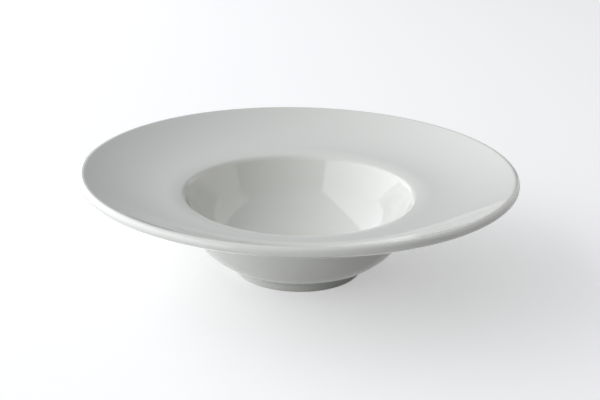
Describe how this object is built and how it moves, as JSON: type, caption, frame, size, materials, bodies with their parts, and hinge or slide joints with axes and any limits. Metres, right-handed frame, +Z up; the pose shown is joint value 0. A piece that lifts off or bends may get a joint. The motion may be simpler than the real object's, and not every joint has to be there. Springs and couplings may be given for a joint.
{
  "type": "pasta bowl",
  "caption": "Round white glazed porcelain bowl with a broad dished flange, a round lip, a deep central well and a low foot ring, for serving pasta.",
  "frame": {"origin": "middle of the foot ring, on the surface that the bowl stands on", "axes": "+Z up along the bowl's axis of revolution; X and Y are alike"},
  "size_m": [0.28, 0.28, 0.071],
  "materials": {
    "clay": "matt, unglazed porcelain",
    "glaze": "gloss white glaze"
  },
  "bodies": {
    "root": {"porcelain_body": "clay", "glaze_coat": "glaze", "foot_recess_glaze": "glaze"}
  },
  "joints": []
}
